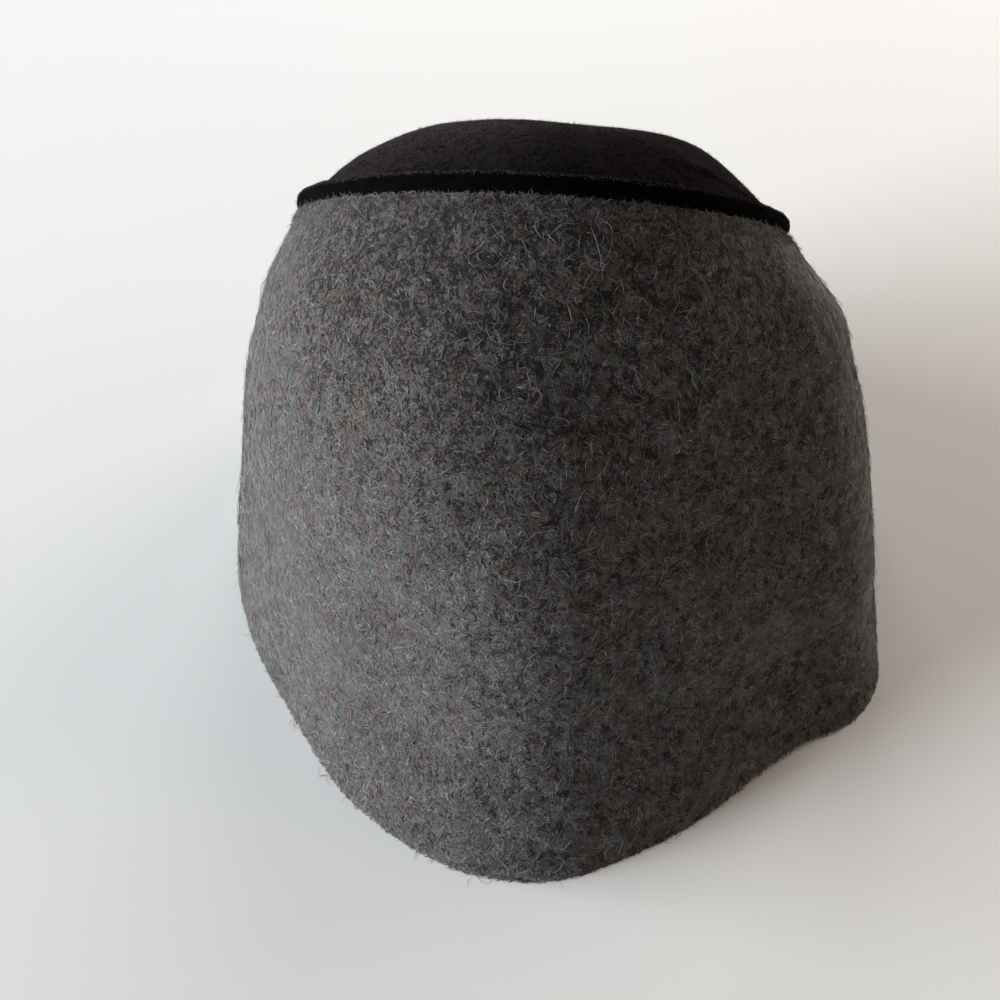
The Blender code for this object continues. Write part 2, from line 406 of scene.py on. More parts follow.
@dataclass(frozen=True)
class FeltFinish:
    """A matt felt whose colour is mottled by the wool in it."""

    name: str
    dark: Colour
    middle: Colour
    light: Colour
    clumps: Grain = Grain(0.005, 3.0, 0.6, 0.0)
    strands: Grain = Grain(0.0009, 2.0, 0.7, 1.6)
    strand_share: float = 0.6
    dark_stop: float = 0.36
    middle_stop: float = 0.50
    light_stop: float = 0.66
    roughness: float = 0.95
    specular: float = 0.08
    sheen: float = 0.45
    sheen_roughness: float = 0.5
    sheen_tint: Colour = (0.8, 0.8, 0.8)
    bump_height: float = 0.0006

    def material(self) -> bpy.types.Material:
        """Build the felt's node material.

        Returns:
            The new material.
        """
        material = bpy.data.materials.new(self.name)
        material.use_nodes = True
        nodes, links = material.node_tree.nodes, material.node_tree.links
        shader = nodes["Principled BSDF"]
        shader.inputs["Roughness"].default_value = self.roughness
        shader.inputs["Specular IOR Level"].default_value = self.specular
        shader.inputs["Sheen Weight"].default_value = self.sheen
        shader.inputs["Sheen Roughness"].default_value = self.sheen_roughness
        shader.inputs["Sheen Tint"].default_value = (*self.sheen_tint, 1.0)
        place = nodes.new("ShaderNodeTexCoord")
        clumps = self._mottling(material, place, self.clumps)
        strands = self._mottling(material, place, self.strands)
        clump_part = nodes.new("ShaderNodeMath")
        clump_part.operation = "MULTIPLY"
        clump_part.inputs[1].default_value = 1.0 - self.strand_share
        links.new(clumps.outputs["Fac"], clump_part.inputs[0])
        mix = nodes.new("ShaderNodeMath")
        mix.operation = "MULTIPLY_ADD"
        mix.inputs[1].default_value = self.strand_share
        links.new(strands.outputs["Fac"], mix.inputs[0])
        links.new(clump_part.outputs[0], mix.inputs[2])
        ramp = nodes.new("ShaderNodeValToRGB")
        stops = ramp.color_ramp.elements
        stops[0].position, stops[0].color = self.dark_stop, (*self.dark, 1.0)
        stops[1].position, stops[1].color = self.light_stop, (*self.light, 1.0)
        stops.new(self.middle_stop).color = (*self.middle, 1.0)
        links.new(mix.outputs[0], ramp.inputs["Fac"])
        links.new(ramp.outputs["Color"], shader.inputs["Base Color"])
        bump = nodes.new("ShaderNodeBump")
        bump.inputs["Strength"].default_value = 1.0
        bump.inputs["Distance"].default_value = self.bump_height
        links.new(mix.outputs[0], bump.inputs["Height"])
        links.new(bump.outputs["Normal"], shader.inputs["Normal"])
        return material

    @staticmethod
    def _mottling(material: bpy.types.Material, place: bpy.types.Node, grain: Grain) -> bpy.types.Node:
        """Add a noise texture that reads the object's own coordinates.

        Args:
            material: The material that gets the texture.
            place: The texture coordinate node.
            grain: Size and kind of the noise.

        Returns:
            The noise node.
        """
        texture = material.node_tree.nodes.new("ShaderNodeTexNoise")
        texture.inputs["Scale"].default_value = 1.0 / grain.size
        texture.inputs["Detail"].default_value = grain.detail
        texture.inputs["Roughness"].default_value = grain.roughness
        texture.inputs["Distortion"].default_value = grain.swirl
        material.node_tree.links.new(place.outputs["Object"], texture.inputs["Vector"])
        return texture


GREY_HEATHER = FeltFinish(
    "grey_heather",
    dark=(0.036, 0.034, 0.032),
    middle=(0.064, 0.062, 0.060),
    light=(0.096, 0.094, 0.091),
    clumps=Grain(0.006, 3.0, 0.6, 0.0),
)
BLACK_FELT = FeltFinish(
    "black_wool",
    dark=(0.002, 0.0015, 0.0016),
    middle=(0.0045, 0.0036, 0.0038),
    light=(0.012, 0.009, 0.0098),
    specular=0.02,
    sheen=0.05,
    sheen_tint=(0.8, 0.66, 0.70),
)
# Black felt darkened further, as painted shade on the edge roll that sits in shade below the dome.
PAINTED_SHADE_BLACK_FELT = FeltFinish(
    "painted_shade_black_wool",
    dark=(0.0008, 0.0007, 0.0007),
    middle=(0.0014, 0.0012, 0.0012),
    light=(0.0028, 0.0024, 0.0024),
    specular=0.01,
    sheen=0.01,
)


@dataclass(frozen=True)
class Wool:
    """One tint of wool.

    Attributes:
        colour: The wool's own colour.
        tone: How strongly it gathers in light patches, or below zero in dark ones.
        warmth: How strongly it gathers in warm patches, or below zero in cool ones.
        roughness: How matt the wool is.
        specular: Strength of its plain shine.
        sheen: Strength of its soft shine towards the edges.
        sheen_roughness: How far that soft shine spreads.
        sheen_tint: Colour of that soft shine.
    """

    colour: Colour
    tone: float = 0.0
    warmth: float = 0.0
    roughness: float = 0.9
    specular: float = 0.1
    sheen: float = 0.55
    sheen_roughness: float = 0.35
    sheen_tint: Colour = (1.0, 1.0, 1.0)

    def material(self, tint: Tint) -> bpy.types.Material:
        """Build the wool's plain material.

        Args:
            tint: The tint, which gives the material its name.

        Returns:
            The new material.
        """
        material = bpy.data.materials.new("wool_" + tint.value)
        material.use_nodes = True
        shader = material.node_tree.nodes["Principled BSDF"]
        shader.inputs["Base Color"].default_value = (*self.colour, 1.0)
        shader.inputs["Roughness"].default_value = self.roughness
        shader.inputs["Specular IOR Level"].default_value = self.specular
        shader.inputs["Sheen Weight"].default_value = self.sheen
        shader.inputs["Sheen Roughness"].default_value = self.sheen_roughness
        shader.inputs["Sheen Tint"].default_value = (*self.sheen_tint, 1.0)
        return material


class WoolStore:
    """Holds every tint of wool, and makes each material once."""

    WOOLS: ClassVar[dict[Tint, Wool]] = {
        Tint.CHARCOAL: Wool((0.024, 0.021, 0.020), tone=-1.4, warmth=0.1),
        Tint.BROWN: Wool((0.097, 0.074, 0.061), tone=-0.3, warmth=1.0),
        Tint.PLUM: Wool((0.097, 0.079, 0.094), tone=-0.1, warmth=0.6),
        Tint.MOSS: Wool((0.084, 0.091, 0.079), tone=-0.1, warmth=-1.2),
        Tint.SLATE: Wool((0.112, 0.112, 0.115), tone=0.3, warmth=-0.3),
        Tint.ASH: Wool((0.147, 0.146, 0.146), tone=1.0),
        Tint.PALE: Wool((0.210, 0.205, 0.196), tone=1.3),
        # Black wool darkened further, as painted shade for the edge roll.
        Tint.PAINTED_SHADE_BLACK: Wool((0.0010, 0.0009, 0.0009), tone=-1.0, specular=0.01, sheen=0.01),
        Tint.BLACK: Wool(
            (0.0020, 0.0015, 0.0016), tone=-1.0, specular=0.01, sheen=0.025, sheen_tint=(1.0, 0.80, 0.86)
        ),
        Tint.SOOT: Wool(
            (0.0140, 0.0100, 0.0112), tone=1.0, specular=0.02, sheen=0.075, sheen_tint=(1.0, 0.84, 0.88)
        ),
        # Grey, as painted highlight on the fuzz along the edge's rim and the dome's crease.
        Tint.PAINTED_HIGHLIGHT: Wool((0.075, 0.066, 0.066), tone=2.0, specular=0.02, sheen=0.06),
    }

    def __init__(self) -> None:
        """Start with no material made."""
        self._made: dict[Tint, bpy.types.Material] = {}

    def material(self, tint: Tint) -> bpy.types.Material:
        """Find the tint's material, which is made on its first use.

        Args:
            tint: The tint.

        Returns:
            The tint's material.
        """
        if tint not in self._made:
            self._made[tint] = self.WOOLS[tint].material(tint)
        return self._made[tint]

    def wool(self, tint: Tint) -> Wool:
        """Return the tint's wool."""
        return self.WOOLS[tint]


@dataclass(frozen=True)
class Mottle:
    """How the tints of a crop gather in patches, and the painted light and shade that change them over the
    hat.

    Attributes:
        patches: Grain in metres and strength, for each size of light and dark patch.
        hue: Strength of the warm and cool patches.
        hue_grain: Size of the warm and cool patches.
        painted_warm_light_right: How much warmer the wool is made on the right, as painted warm light from
            that side.
        painted_grazing_light_right: How much bolder the patches get on the shaded right, and fainter on the
            lit left, as painted shade and highlights of grazing light.
        painted_even_light_left: How much rarer the darkest and the lightest tints get on the lit left, as
            painted even light.
        painted_seam_shade: How much painted shade darkens the wool towards the crown seam.
        seam_ease: Share of that shade that is taken off the right and added on the left.
        seam_from: Height where the shade starts.
        seam_span: Height over which it reaches its full strength.
        middle: Where left passes into right, across the hat.
        middle_blur: How soft that passage is.
    """

    patches: Table = ()
    hue: float = 0.0
    hue_grain: float = 0.0042
    painted_warm_light_right: float = 0.0
    painted_grazing_light_right: float = 0.0
    painted_even_light_left: float = 0.0
    painted_seam_shade: float = 0.0
    seam_ease: float = 0.4
    seam_from: float = 0.07
    seam_span: float = 0.06
    middle: float = -0.02
    middle_blur: float = 0.03

    def weights(self, roots: np.ndarray, wools: list[Wool]) -> np.ndarray:
        """Weigh every wool at every root.

        Args:
            roots: Where the fibres stand.
            wools: The wools to weigh.

        Returns:
            A row of weights for each root.
        """
        side = np.tanh((roots[:, 0] - self.middle) / self.middle_blur)
        tone = np.zeros(len(roots))
        for grain, strength in self.patches:
            tone += strength * soft_noise(roots, grain, NoisePatch.TONE)
        # Painted shade and highlights of grazing light: bolder patches on the shaded right, fainter ones on
        # the lit left.
        tone *= 1.0 + self.painted_grazing_light_right * side
        # Painted shade: the wool darkens towards the crown seam, more on the left than on the right.
        near_seam = np.clip((roots[:, 2] - self.seam_from) / self.seam_span, 0.0, 1.0)
        tone -= self.painted_seam_shade * near_seam * (1.0 - self.seam_ease * side)
        # Painted warm light on the right side.
        warmth = self.painted_warm_light_right * np.clip(side, 0.0, 1.0)
        if self.hue:
            warmth = warmth + self.hue * soft_noise(roots, self.hue_grain, NoisePatch.HUE)
        pull = np.outer(tone, [wool.tone for wool in wools])
        pull += np.outer(warmth, [wool.warmth for wool in wools])
        # Painted even light: the darkest and lightest tints grow rarer on the lit left.
        extremes = np.array([wool.tone**2 for wool in wools])
        pull -= self.painted_even_light_left * np.outer(np.clip(-side, 0.0, 1.0), extremes)
        return np.exp(pull)


@dataclass(frozen=True)
class FibreCrop:
    """A crop of like fibres.

    Attributes:
        lie: How the fibres lie on the felt.
        count: How many there are.
        length: Shortest and longest fibre.
        width: Thinnest and thickest fibre.
        tints: The tints in the crop and the share of each.
        lift: Lowest and highest root above the felt.
        rise: How far a fibre's end stands off the felt, as shares of its length.
        twist: Spread of the turn about its own length, in radians.
        bend: Spread of the sideways bow, as a share of the length.
        mottle: How the tints gather in patches.
        ruffle: How far the felt's surface leans here and there under the fibres.
        ruffle_grain: Size of those leaning places.
    """

    lie: Lie
    count: int
    length: Span
    width: Span
    tints: Tints
    lift: Span = (-0.0002, 0.0)
    rise: Span = (-0.05, 0.05)
    twist: float = 0.45
    bend: float = 0.12
    mottle: Mottle = Mottle()
    ruffle: float = 0.0
    ruffle_grain: float = 0.0022


@dataclass
class FibreField:
    """Loose fibres on a felt face, joined into one mesh."""

    name: str
    points: np.ndarray
    normals: np.ndarray
    crops: tuple[FibreCrop, ...]
    store: WoolStore
    seed: int
    closed: bool = True

    # A lying fibre is a sliver: base, left middle, right middle and end.
    SLIVER: ClassVar[tuple[tuple[int, int, int], ...]] = ((0, 1, 2), (1, 3, 2))
    # A standing fibre is a spindle with a ring of corners at each of these shares of its length.
    RINGS: ClassVar[dict[Lie, tuple[float, ...]]] = {Lie.RAISED: (0.45,), Lie.STRAY: (0.35, 0.70)}
    RING_CORNERS: ClassVar[int] = 3
    RISE_CURVE: ClassVar[float] = 0.6

    def build(self) -> bpy.types.Object:
        """Grow every crop and join the fibres.

        Returns:
            The new object, with one material for each tint.
        """
        rng = np.random.default_rng(self.seed)
        tints: list[Tint] = []
        point_sets, face_sets, index_sets = [], [], []
        start = 0
        for crop in self.crops:
            points, faces, fibre_of_face, roots = self._grow(crop, rng)
            picks = self._picks(crop, roots, rng)
            for tint, _ in crop.tints:
                if tint not in tints:
                    tints.append(tint)
            slots = np.array([tints.index(tint) for tint, _ in crop.tints])
            point_sets.append(points)
            face_sets.append(faces + start)
            index_sets.append(slots[picks][fibre_of_face])
            start += len(points)
        piece = new_mesh_piece(self.name, np.concatenate(point_sets), np.concatenate(face_sets))
        for tint in tints:
            piece.data.materials.append(self.store.material(tint))
        piece.data.polygons.foreach_set("material_index", np.concatenate(index_sets).astype(np.int32))
        piece.data.update()
        return piece

    def _picks(self, crop: FibreCrop, roots: np.ndarray, rng: np.random.Generator) -> np.ndarray:
        """Pick a tint for each fibre.

        Args:
            crop: The crop to pick for.
            roots: Where the fibres stand.
            rng: Source of random numbers.

        Returns:
            The number of a tint for each fibre.
        """
        wools = [self.store.wool(tint) for tint, _ in crop.tints]
        shares = np.array([share for _, share in crop.tints])
        stack = np.cumsum(shares * crop.mottle.weights(roots, wools), axis=1)
        return (rng.random((len(roots), 1)) * stack[:, -1:] > stack).sum(axis=1)

    def _roots(self, count: int, rng: np.random.Generator) -> tuple[np.ndarray, np.ndarray]:
        """Scatter roots over the face, evenly by area.

        Args:
            count: Number of roots.
            rng: Source of random numbers.

        Returns:
            The roots and the face's normals there.
        """
        grid = self.points
        beside = np.roll(grid, -1, axis=1)
        area = np.linalg.norm(np.cross(beside[:-1] - grid[:-1], grid[1:] - grid[:-1]), axis=-1)
        if not self.closed:
            area[:, -1] = 0.0
        cell = rng.choice(area.size, size=count, p=(area / area.sum()).ravel())
        row, column = np.divmod(cell, area.shape[1])
        up, side = rng.random((2, count, 1))
        after = (column + 1) % grid.shape[1]

        def blend(values: np.ndarray) -> np.ndarray:
            """Blend values between the four corners of each root's cell.

            Args:
                values: A grid of values.

            Returns:
                The value at each root.
            """
            low = values[row, column] * (1 - side) + values[row, after] * side
            high = values[row + 1, column] * (1 - side) + values[row + 1, after] * side
            return low * (1 - up) + high * up

        return blend(grid), unit(blend(self.normals))

    def _grow(self, crop: FibreCrop, rng: np.random.Generator) -> tuple[np.ndarray, ...]:
        """Grow one crop.

        Args:
            crop: What to grow.
            rng: Source of random numbers.

        Returns:
            Points, triangles, the fibre that each triangle belongs to, and the roots.
        """
        size = (crop.count, 1)
        root, normal = self._roots(crop.count, rng)
        if crop.ruffle:
            patches = (NoisePatch.LEAN_X, NoisePatch.LEAN_Y, NoisePatch.LEAN_Z)
            lean = np.stack([soft_noise(root, crop.ruffle_grain, patch) for patch in patches], axis=1)
            normal = unit(normal + crop.ruffle * lean)
        some = rng.normal(size=(crop.count, 3))
        along = unit(some - normal * (some * normal).sum(axis=1, keepdims=True))
        aside = np.cross(normal, along)
        length = rng.uniform(*crop.length, size=size)
        width = rng.uniform(*crop.width, size=size)
        lift = rng.uniform(*crop.lift, size=size)
        rise = rng.uniform(*crop.rise, size=size) * length
        bend = rng.normal(scale=crop.bend, size=size) * length
        turn = rng.normal(scale=crop.twist, size=size)
        flat = aside * np.cos(turn) + normal * np.sin(turn)
        deep = normal * np.cos(turn) - aside * np.sin(turn)
        base = root + normal * lift
        if crop.lie is Lie.FLAT:
            base = base - along * length * 0.5
            middle = base + along * length * 0.5 + aside * bend + normal * rise * 0.5
            parts = [base, middle - flat * width / 2, middle + flat * width / 2]
            each = np.array(self.SLIVER)
        else:
            parts = [base]
            for share in self.RINGS[crop.lie]:
                swing = aside * bend * 4 * share * (1 - share)
                centre = base + along * length * share + swing + normal * rise * share**self.RISE_CURVE
                for corner in range(self.RING_CORNERS):
                    angle = 2 * math.pi * corner / self.RING_CORNERS
                    parts.append(centre + (flat * math.cos(angle) + deep * math.sin(angle)) * width / 2)
            each = self._spindle(len(self.RINGS[crop.lie]))
        parts.append(base + along * length + normal * rise)
        points = np.stack(parts, axis=1)
        firsts = np.arange(crop.count) * points.shape[1]
        faces = each[None] + firsts[:, None, None]
        fibre_of_face = np.repeat(np.arange(crop.count), len(each))
        points = points.reshape(-1, 3)
        points[:, 2] = np.maximum(points[:, 2], FLOOR_CLEARANCE)
        return points, faces.reshape(-1, 3), fibre_of_face, root

    def _spindle(self, rings: int) -> np.ndarray:
        """Triangles of one spindle: its base, its rings of corners and its end.

        Args:
            rings: Number of rings.

        Returns:
            Three vertex indices for each triangle.
        """
        corners = self.RING_CORNERS
        faces = []
        last = corners * rings + 1
        top = last - corners
        for corner in range(corners):
            beside = (corner + 1) % corners
            faces.append((0, 1 + beside, 1 + corner))
            for ring in range(rings - 1):
                low = 1 + corners * ring
                high = low + corners
                faces.append((low + corner, low + beside, high + beside))
                faces.append((low + corner, high + beside, high + corner))
            faces.append((last, top + corner, top + beside))
        return np.array(faces)


GREY_WOOL = (
    (Tint.CHARCOAL, 0.13), (Tint.BROWN, 0.16), (Tint.PLUM, 0.13), (Tint.MOSS, 0.14), (Tint.SLATE, 0.24),
    (Tint.ASH, 0.17), (Tint.PALE, 0.02),
)
LIGHT_WOOL = ((Tint.SLATE, 0.25), (Tint.ASH, 0.45), (Tint.PALE, 0.30))
PALE_WOOL = ((Tint.ASH, 0.4), (Tint.PALE, 0.6))
BLACK_WOOL = ((Tint.BLACK, 0.55), (Tint.SOOT, 0.45))
# Black wool darkened further, as painted shade for the edge roll.
PAINTED_SHADE_BLACK_WOOL = ((Tint.PAINTED_SHADE_BLACK, 0.8), (Tint.SOOT, 0.2))
# Grey mixed into black fuzz as painted highlight along the dome's crease and the edge's rim.
CREASE_WOOL = ((Tint.SOOT, 0.65), (Tint.PAINTED_HIGHLIGHT, 0.35))
RIM_HIGHLIGHT_WOOL = ((Tint.SOOT, 0.45), (Tint.PAINTED_HIGHLIGHT, 0.55))


@dataclass
class FeltPart:
    """A felt part of the hat, which is built first and then dressed with loose fibres."""

    form: HatForm
    store: WoolStore
    face: np.ndarray = field(init=False, repr=False)

    NODE: ClassVar[str]
    SLOT: ClassVar[str]
    FINISH: ClassVar[FeltFinish]

    def settle(self, piece: bpy.types.Object) -> None:
        """Tie a piece to the frame and report it.

        Args:
            piece: The new piece.
        """
        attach(piece, BODY_NAME)
        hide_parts(self.NODE)
        piece.data.calc_loop_triangles()
        log.info("%s: %d triangles", piece.name, len(piece.data.loop_triangles))

    def complete(self, piece: bpy.types.Object) -> None:
        """Smooth the part's main piece, give it its felt and tie it to the frame.

        Args:
            piece: The part's main piece.
        """
        piece.data.shade_smooth()
        piece.data.materials.append(self.FINISH.material())
        self.settle(piece)

    def grow(
        self, name: str, points: np.ndarray, normals: np.ndarray, crops: tuple[FibreCrop, ...], seed: int,
        closed: bool = True,
    ) -> None:
        """Grow fibres on a stretch of the part's face.

        Args:
            name: Name of the new piece.
            points: The stretch, as a grid of points.
            normals: The normals there.
            crops: What to grow.
            seed: Start of the random numbers.
            closed: True if the stretch runs all the way round.
        """
        self.settle(FibreField(name, points, normals, crops, self.store, seed, closed).build())


@dataclass
class FeltBody(FeltPart):
    """The grey wall: one thick layer of heathered felt, open below."""

    felt: float = 0.003
    turns: int = 300
    rows: int = 120
    row_spacing: float = 1.35
    inner_rows: int = 40
    edge_rows: int = 5
    lump_height: float = 0.00035
    lump_grain: float = 0.013
    pebble_height: float = 0.00018
    pebble_grain: float = 0.0042
    hem_fade: float = 0.04
    hem_lift: float = 0.0016
    hem_lift_turn: float = 40.0
    hem_lift_spread: float = 9.0
    hem_lift_fade: int = 4
    seam_puff: float = 0.0004
    lying_layers: int = 3
    lying_seed: int = 11
    tuft_rows: int = 7

    NODE: ClassVar[str] = "felt_body"
    SLOT: ClassVar[str] = "grey_felt"
    FINISH: ClassVar[FeltFinish] = GREY_HEATHER
    LYING: ClassVar[FibreCrop] = FibreCrop(
        Lie.FLAT,
        count=80000,
        length=(0.0012, 0.0034),
        width=(0.00022, 0.00050),
        tints=GREY_WOOL,
        lift=(0.0, 0.0002),
        rise=(-0.008, 0.008),
        twist=0.03,
        bend=0.17,
        mottle=Mottle(
            patches=((0.0010, 2.6), (0.0023, 2.5), (0.0060, 1.6)),
            hue=3.6,
            # Painted warm light on the right side.
            painted_warm_light_right=1.1,
            # Painted shade and highlights of grazing light on the right.
            painted_grazing_light_right=0.50,
            # Painted even light on the left.
            painted_even_light_left=0.5,
            # Painted shade darkens the wool towards the seam.
            painted_seam_shade=1.6,
        ),
        ruffle=0.22,
    )
    FUZZ: ClassVar[FibreCrop] = FibreCrop(
        Lie.RAISED, 6000, length=(0.0005, 0.0013), width=(0.00006, 0.00011), tints=LIGHT_WOOL,
        rise=(0.3, 1.2),
    )
    HAIRS: ClassVar[FibreCrop] = FibreCrop(
        Lie.STRAY, 5200, length=(0.0030, 0.0075), width=(0.00007, 0.00014), tints=LIGHT_WOOL,
        lift=(0.0, 0.0003), rise=(0.02, 0.12), bend=0.2,
    )
    LONG_HAIRS: ClassVar[FibreCrop] = FibreCrop(
        Lie.STRAY, 70, length=(0.0080, 0.0160), width=(0.00012, 0.00018), tints=PALE_WOOL,
        lift=(0.0, 0.0003), rise=(0.02, 0.06), bend=0.2,
    )
    TUFTS: ClassVar[FibreCrop] = FibreCrop(
        Lie.RAISED, 3600, length=(0.0008, 0.0024), width=(0.00007, 0.00015), tints=GREY_WOOL,
        rise=(0.2, 0.8),
    )

    def outer(self) -> np.ndarray:
        """Shape the outer face with its folds and the felt's uneven relief.

        Returns:
            A grid of points, one row for each level.
        """
        turns = np.arange(self.turns) * FULL_TURN / self.turns
        steps = np.linspace(0.0, 1.0, self.rows)
        rises = 1.0 - (1.0 - steps) ** self.row_spacing
        grid = self.form.folded_wall(rises, turns)
        normals = grid_normals(grid)
        relief = self.lump_height * soft_noise(grid, self.lump_grain, NoisePatch.WALL_LUMPS)
        relief += self.pebble_height * soft_noise(grid, self.pebble_grain, NoisePatch.WALL_PEBBLES)
        fade = np.clip(rises / self.hem_fade, 0.0, 1.0)[:, None]
        grid = grid + normals * (relief * fade)[:, :, None]
        lift = bell(turn_gap(turns, self.hem_lift_turn), self.hem_lift_spread)
        grid[:, :, 2] += self.hem_lift * lift[None] * ((1.0 - rises) ** self.hem_lift_fade)[:, None]
        return grid

    def build(self) -> None:
        """Build the wall: its two faces, and the round cut edges that join them."""
        self.face = self.outer()
        normals = grid_normals(self.face)
        rows = np.unique(np.linspace(0, self.rows - 1, self.inner_rows).round().astype(int))
        inner = self.face[rows] - normals[rows] * self.felt
        inner[0, :, 2] = self.face[0, :, 2]
        over_seam = self._rolled(self.face[-1], inner[-1], self.seam_puff)
        under_hem = self._rolled(inner[0], self.face[0], 0.0)
        points = np.concatenate([self.face, over_seam, inner[::-1], under_hem])
        faces = tube_faces(len(points), self.turns, closed_rows=True)
        self.complete(new_mesh_piece("felt_wall", points.reshape(-1, 3), faces))

    def dress(self) -> None:
        """Grow the lying wool in layers, then the loose hairs and the tufts along the seam."""
        normals = grid_normals(self.face)
        for layer in range(self.lying_layers):
            name = f"wall_fibres_{layer + 1}"
            self.grow(name, self.face, normals, (self.LYING,), self.lying_seed + layer)
        loose = (self.FUZZ, self.HAIRS, self.LONG_HAIRS)
        self.grow("wall_loose_hairs", self.face, normals, loose, seed=41)
        below_seam = slice(-self.tuft_rows, None)
        self.grow("seam_tufts", self.face[below_seam], normals[below_seam], (self.TUFTS,), seed=52)

    def _rolled(self, first: np.ndarray, last: np.ndarray, puff: float) -> np.ndarray:
        """Rows of points that go over a cut edge from one face to the other.

        Args:
            first: Edge of the face that is left.
            last: Edge of the face that is met.
            puff: How far the middle of the cut edge stands up.

        Returns:
            The rows between the two edges.
        """
        rows = []
        for step in range(1, self.edge_rows + 1):
            share = step / (self.edge_rows + 1)
            row = first * (1 - share) + last * share
            row[:, 2] += puff * math.sin(math.pi * share)
            rows.append(row)
        return np.array(rows)


@dataclass
class CrownEdge(FeltPart):
    """The raised black edge: a soft roll of felt that lies on the seam."""

    height: float = 0.0055
    reach: float = 0.0009
    ledge: float = 0.0062
    tip_felt: float = 0.0025
    gap: float = 0.0003
    turns: int = 360
    ring: int = 32
    side_fullness: float = 0.35
    top_fullness: float = 0.45
    side_round: float = 0.50
    wobble: float = 0.0004
    lump_grain: float = 0.009
    pebble_grain: float = 0.003
    pebble_share: float = 0.5
    upper_rows: tuple[int, int] = (10, 14)

    NODE: ClassVar[str] = "crown_edge"
    SLOT: ClassVar[str] = "black_edging"
    # The roll's felt and nap are black darkened further, as painted shade.
    FINISH: ClassVar[FeltFinish] = PAINTED_SHADE_BLACK_FELT
    NAP: ClassVar[FibreCrop] = FibreCrop(
        Lie.RAISED, 2600, length=(0.0005, 0.0012), width=(0.00006, 0.00012), tints=PAINTED_SHADE_BLACK_WOOL,
        rise=(0.2, 1.0),
    )
    # Fuzz on the roll's upper rim: the fuzz is real, its grey tint is painted highlight.
    RIM: ClassVar[FibreCrop] = FibreCrop(
        Lie.RAISED, 9000, length=(0.0003, 0.0009), width=(0.00009, 0.00019), tints=RIM_HIGHLIGHT_WOOL,
        lift=(-0.0001, 0.0001), rise=(0.05, 0.4),
    )

    def build(self) -> None:
        """Build the roll: a ring with a rounded box for its section, fuller at the front and back."""
        turns = np.radians(np.arange(self.turns) * FULL_TURN / self.turns)
        outer = self.form.seam_radius + self.reach
        inner = outer - self.ledge - self.tip_felt
        half_wide, half_high = (outer - inner) / 2, self.height / 2
        at_side = self.side_round * np.sin(turns) ** 2
        rows = []
        for step in range(self.ring):
            angle = 2 * math.pi * step / self.ring - math.pi / 2
            across, up = math.cos(angle), math.sin(angle)
            wide = np.copysign(abs(across) ** (self.side_fullness + at_side), across)
            high = np.copysign(abs(up) ** (self.top_fullness + at_side), up)
            radius = (inner + outer) / 2 + half_wide * wide
            level = self.gap + half_high * (1 + high)
            rows.append(np.stack([radius * np.sin(turns), -radius * np.cos(turns), level], axis=1))
        grid = self.form.on_seam(np.array(rows))
        bumps = soft_noise(grid, self.lump_grain, NoisePatch.ROLL_LUMPS)
        bumps += self.pebble_share * soft_noise(grid, self.pebble_grain, NoisePatch.ROLL_PEBBLES)
        self.face = grid + grid_normals(grid) * (bumps * self.wobble)[:, :, None]
        faces = tube_faces(self.ring, self.turns, closed_rows=True)
        self.complete(new_mesh_piece("rolled_edge", self.face.reshape(-1, 3), faces))

    def dress(self) -> None:
        """Grow the roll's short nap, and grey fuzz along its upper rim whose tint paints a highlight there.
        """
        normals = grid_normals(self.face)
        self.grow("edge_nap", self.face, normals, (self.NAP,), seed=67)
        upper = slice(*self.upper_rows)
        self.grow("edge_rim_highlight", self.face[upper], normals[upper], (self.RIM,), seed=71)


